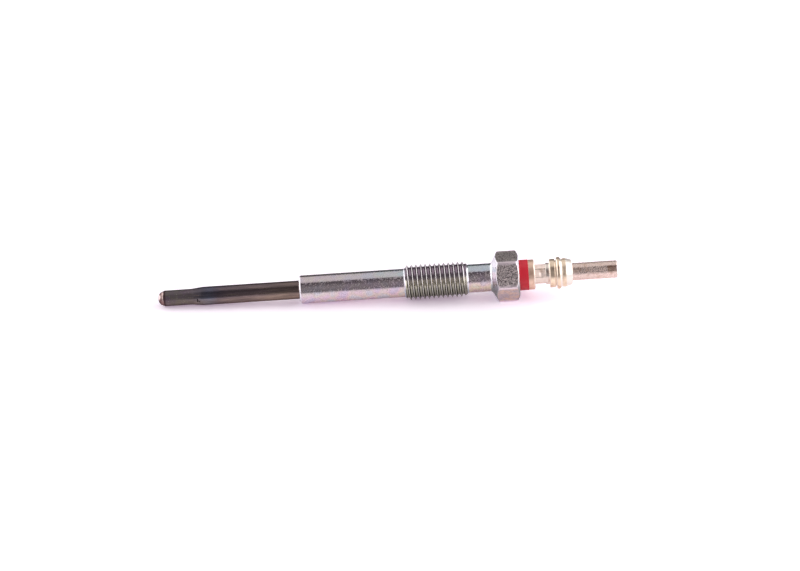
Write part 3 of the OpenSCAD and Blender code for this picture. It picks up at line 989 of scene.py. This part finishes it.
# %% Terminal outline
sleeve_r = 2.65 * MM
shoulder_r = 2.925 * MM
collar_r = 3.9 * MM
groove_r = 3.5 * MM
rear_end_r = 3.45 * MM
rear_land = 0.9 * MM
shoulder_x = sleeve_x + 2.9 * MM
collar_x = shoulder_x + 1.0 * MM
front_groove_x = collar_x + 1.6 * MM
bead_x = front_groove_x + 0.25 * MM
rear_ring_x = bead_x + 1.7 * MM
socket_x = sleeve_x + 8 * MM
bead_round = 0.5 * MM
bead_top_len = 0.95 * MM
ring_step = 0.2 * MM
rear_edge_len = 0.25 * MM
terminal_outline = rounded([
    (socket_x, 0, 0),
    (socket_x, rod_r, 0),
    (sleeve_x, rod_r, 0),
    (sleeve_x, sleeve_r, 0.1 * MM),
    (shoulder_x, sleeve_r, 0.12 * MM),
    (shoulder_x, shoulder_r, 0.08 * MM),
    (collar_x, shoulder_r, 0.15 * MM),
    (collar_x, collar_r, 0.3 * MM),
    (front_groove_x, collar_r, 0.25 * MM),
    (front_groove_x, groove_r, 0.05 * MM),
    (bead_x, groove_r, 0.05 * MM),
    (bead_x, bead_r, bead_round),
    (bead_x + bead_top_len, bead_r, 0.3 * MM),
    (rear_ring_x, collar_r - ring_step, 0.02 * MM),
    (rear_ring_x, collar_r, 0.1 * MM),
    (rear_ring_x + rear_land, collar_r, 0.3 * MM),
    (pin_x - rear_edge_len, rear_end_r, 0.2 * MM),
    (pin_x, rear_end_r - rear_edge_len, 0.1 * MM),
    (pin_x, pin_r, 0.15 * MM),
    (end_x, pin_r, 0.3 * MM),
    (end_x, 0, 0),
])
print("the terminal's outline has", len(terminal_outline), "points")


# %% Crimp
dent_turn = math.radians(153.5)
dent_depth = 0.14 * MM
dent_slope = 0.8 * MM
dent_half = 1.15 * MM


def ease(value, low, high):
    """Rises smoothly from 0 at low to 1 at high, as 3t^2 - 2t^3."""
    t = np.clip((value - low) / (high - low), 0, 1)
    return t * t * (3 - 2 * t)


def crimped(x, radius, angle):
    """Presses a square dent into the sleeve: the depth times an eased window along x and one around."""
    around_sleeve = np.abs((angle - dent_turn + np.pi) % (2 * np.pi) - np.pi) * sleeve_r
    window = ease(x, dent_x[0], dent_x[0] + dent_slope) * (1 - ease(x, dent_x[1] - dent_slope, dent_x[1]))
    window = window * (1 - ease(around_sleeve, dent_half - dent_slope, dent_half))
    return radius - dent_depth * window * (radius > rod_r * 1.05)


dent_margin = 0.05 * MM
dent_rows = np.linspace(dent_x[0] - dent_margin, dent_x[1] + dent_margin, 26)
terminal_grid = turned(crossed(terminal_outline, dent_rows), full_turn, False, crimped)
terminal_mesh = mesh_from_grid("terminal_dressed", terminal_grid)

# %% Slot
slot_w = 1.6 * MM
slot_len = 2.7 * MM
slot_depth = 3.4 * MM
slot_turn = math.radians(55)


def block(name, low, high, turn):
    """A box between two corners, turned about the X axis. Its rows are the corners of two square faces."""
    u = np.array([[0, 0], [0, 1], [1, 1], [1, 0], [0, 0]])
    square = low[1:] + u * (high[1:] - low[1:])
    ring_y = square[:, 0] * math.cos(turn) - square[:, 1] * math.sin(turn)
    ring_z = square[:, 0] * math.sin(turn) + square[:, 1] * math.cos(turn)
    x = np.array([low[0], low[0], high[0], high[0]])[:, None] + 0 * ring_y
    share = np.array([0, 1, 1, 0])[:, None]
    centre_y, centre_z = ring_y[:4].mean(), ring_z[:4].mean()
    y = centre_y + share * (ring_y - centre_y)
    z = centre_z + share * (ring_z - centre_z)
    return mesh_from_grid(name, np.stack([x, y, z], -1)[:, ::-1])


cutter = bpy.data.objects.new("slot_cutter", block(
    "slot_cutter",
    np.array([end_x - slot_len, -slot_w / 2, pin_r - slot_depth]),
    np.array([end_x + slot_len, slot_w / 2, 2 * pin_r]),
    slot_turn,
))
bpy.context.scene.collection.objects.link(cutter)
terminal = add_piece(terminal_mesh, nickel, "terminal_pin")
cut = terminal.modifiers.new("slot", "BOOLEAN")
cut.object = cutter
cut.operation = "DIFFERENCE"
cut.solver = "EXACT"
finished = bpy.data.meshes.new_from_object(terminal.evaluated_get(bpy.context.evaluated_depsgraph_get()))
terminal.modifiers.clear()
terminal.data = finished
finished.set_sharp_from_angle(angle=sharp_angle)
bpy.data.objects.remove(cutter)
print("terminal after the slot:", len(finished.polygons), "faces")

# %% [markdown]
# ## The table it lies on
# The plug lies on its hexagon and on the front edge of its shank, so relative to its axis the table slopes
# a little. The floor passes through those two points. It is white paper. More light could make it whiter,
# but would bleach the metal too, so the camera sees a faint glow on it instead: it softens the shadow, most
# of all behind the head, and far away it gives plain white. Metal sees the paper pale behind the plug and
# grey in front, and that draws the bands along its cylinders.

# %% Floor
rest_x = head_x + (flat_r - neck_r) * hex_slope
slope = (flat_r - shank_r) / rest_x
floor_half = 2.5
floor_steps = np.linspace(-floor_half, floor_half, 3)
floor_x, floor_y = np.meshgrid(floor_steps, floor_steps)
floor_grid = np.stack([floor_x, floor_y, -shank_r - slope * floor_x], -1)
floor = bpy.data.objects.new("floor", mesh_from_grid("floor", floor_grid))
bpy.context.scene.collection.objects.link(floor)
print("the table slopes", round(math.degrees(math.atan(slope)), 2), "degrees")

# %% Paper
white_paper = (0.95, 0.95, 0.95, 1)
grey_paper = (0.4, 0.39, 0.42, 1)
glow_colour = (1.0, 0.72, 1.0, 1)
camera_glow, head_glow, metal_glow = 0.26, 0.16, 0.2

# Each zone has a place where it starts and one where it is full, in metres.
far_zone = (0.25, 0.6)
lit_zone = (-0.45, -0.2)
pale_zone = (-0.075, -0.012)
head_zone = (0.045, 0.065)


def make_paper():
    """White paper with painted shade a long way in front, and grey for metal from just in front of the plug.

    For the camera it glows a little, more behind the head and most far away. Metal sees a glow where it is
    pale.
    """
    material = bpy.data.materials.new("white_table")
    wire = open_graph(material)
    seen_by = ("Camera", "Glossy", "Transmission")
    camera_ray, metal_ray, glass_ray = (
        wire.node("ShaderNodeLightPath", output=f"Is {ray} Ray") for ray in seen_by
    )
    x, y, _ = wire.node("ShaderNodeTexCoord", output="Object").parts()
    far = wire.math("SQRT", x * x + y * y).step(*far_zone)
    pale = y.step(*pale_zone)
    # Painted shade: the paper is grey a long way in front.
    colour = y.step(*lit_zone).blend(grey_paper, white_paper)
    colour = (metal_ray * (1 - pale)).blend(colour, grey_paper)
    paper = wire.node("ShaderNodeBsdfDiffuse", inputs={"Color": colour})
    strength = camera_ray * (camera_glow + x.step(*head_zone) * head_glow + far)
    strength = strength + (metal_ray + glass_ray) * pale * metal_glow
    glow = wire.node("ShaderNodeEmission", inputs={"Color": glow_colour, "Strength": strength})
    both = wire.node("ShaderNodeAddShader", inputs={0: paper, 1: glow})
    wire.node("ShaderNodeOutputMaterial", inputs={"Surface": both})
    print("the paper has", len(wire.tree.nodes), "nodes")
    return material


floor.data.materials.append(make_paper())

# %% [markdown]
# ## Light
# Two soft lamps stand left and right, as beside a product table: they light the white ground and glint on
# every chamfer that faces along the axis. A large dim panel hangs above and behind and gives the bright
# band along the top of each cylinder. No lamp stands behind the camera, which gives the dark band.


# %% Lamps
def placed(right, up, back, place):
    """The matrix that turns an object's axes to right, up and back and puts it at a place."""
    return Matrix(np.vstack([np.column_stack([right, up, back, place]), (0, 0, 0, 1)]).tolist())


def level_axes(back):
    """Right and up of a level object whose back points this way: right is the cross of Z and back.

    A lamp that hangs straight above has no such right, so it takes the X axis.
    """
    right = np.cross((0, 0, 1), back) if abs(back[2]) < 0.9 else np.array([1.0, 0, 0])
    right /= np.linalg.norm(right)
    return right, np.cross(back, right)


def add_lamp(name, place, aim, size, watts):
    """A rectangular lamp at a place, turned to face its aim."""
    lamp = bpy.data.lights.new(name, "AREA")
    lamp.shape = "RECTANGLE"
    lamp.size, lamp.size_y = size
    lamp.energy = watts
    holder = bpy.data.objects.new(name, lamp)
    back = np.array(place, float) - np.array(aim, float)
    back /= np.linalg.norm(back)
    holder.matrix_world = placed(*level_axes(back), back, place)
    holder.visible_camera = False
    bpy.context.scene.collection.objects.link(holder)
    print(f"{name}: radiance {watts / (math.pi * size[0] * size[1]):.2f}")


middle_x = (tip_x + end_x) / 2
left_x, right_x = middle_x - 0.55, middle_x + 0.55

# Each lamp has a name, a place, a point it faces, a width and a height in metres, and its watts.
lamps = (
    ("left_lamp", (left_x, 0.2, 0.47), (middle_x, 0.2, 0.47), (1.7, 0.96), 8.0),
    ("right_lamp", (right_x, -0.25, 0.4), (middle_x, -0.25, 0.4), (1.5, 0.82), 7.8),
    ("ceiling", (middle_x, 0.4, 0.6), (middle_x, 0.4, 0), (1.1, 0.99), 2.33),
)
for lamp in lamps:
    add_lamp(*lamp)

# %% [markdown]
# ## The room
# What metal looks like is mostly what it mirrors, so the world is a dim room and not one flat grey. The wall
# behind the camera is brightest halfway up, and the rear wall is darker. The camera itself sees plain white.

# %% World
world = bpy.data.worlds.new("studio")
bpy.context.scene.world = world
air = open_graph(world)
camera_ray = air.node("ShaderNodeLightPath", output="Is Camera Ray")
_, depth, rise = air.node("ShaderNodeTexCoord", output="Generated").parts()
front_wall = rise.ramp([
    (0.0, (0.2, 0.19, 0.2, 1)),
    (0.3, (0.26, 0.245, 0.26, 1)),
    (0.6, (0.28, 0.265, 0.28, 1)),
    (0.9, (0.12, 0.11, 0.12, 1)),
])
rear_wall = (0.13, 0.125, 0.13, 1)
walls = depth.step(-0.1, 0.1).blend(front_wall, rear_wall)
room = camera_ray.blend(walls, (1, 1, 1, 1))
light = air.node("ShaderNodeBackground", inputs={0: room, 1: 1.0})
air.node("ShaderNodeOutputWorld", inputs={0: light})
bpy.context.scene.view_settings.view_transform = "Standard"
print("the room has", len(world.node_tree.nodes), "nodes")

# %% [markdown]
# ## Camera
# The picture is taken with a long lens from the side, looking down on the plug, and the camera is rolled a
# little, so that the plug rises to the right. It could be aimed by eye, but its aim, distance and roll were
# worked out from where the two ends of the plug are in the picture.

# %% Camera
azimuth = math.radians(2.0)
elevation = math.radians(28.5)
roll = math.radians(-4.703)
aim = np.array([26.752, 0.0, -0.758]) * MM
distance = 678.27 * MM
back = np.array([
    math.sin(azimuth) * math.cos(elevation),
    -math.cos(azimuth) * math.cos(elevation),
    math.sin(elevation),
])
level, upright = level_axes(back)
right = level * math.cos(roll) + upright * math.sin(roll)
up = upright * math.cos(roll) - level * math.sin(roll)
lens = bpy.data.cameras.new("camera")
lens.sensor_width = 36.0
lens.lens = 112.5
lens.clip_end = 20.0
camera = bpy.data.objects.new("camera", lens)
eye = aim + back * distance
camera.matrix_world = placed(right, up, back, eye)
bpy.context.scene.collection.objects.link(camera)
bpy.context.scene.camera = camera
print("camera at", np.round(eye / MM, 1).tolist(), "mm")
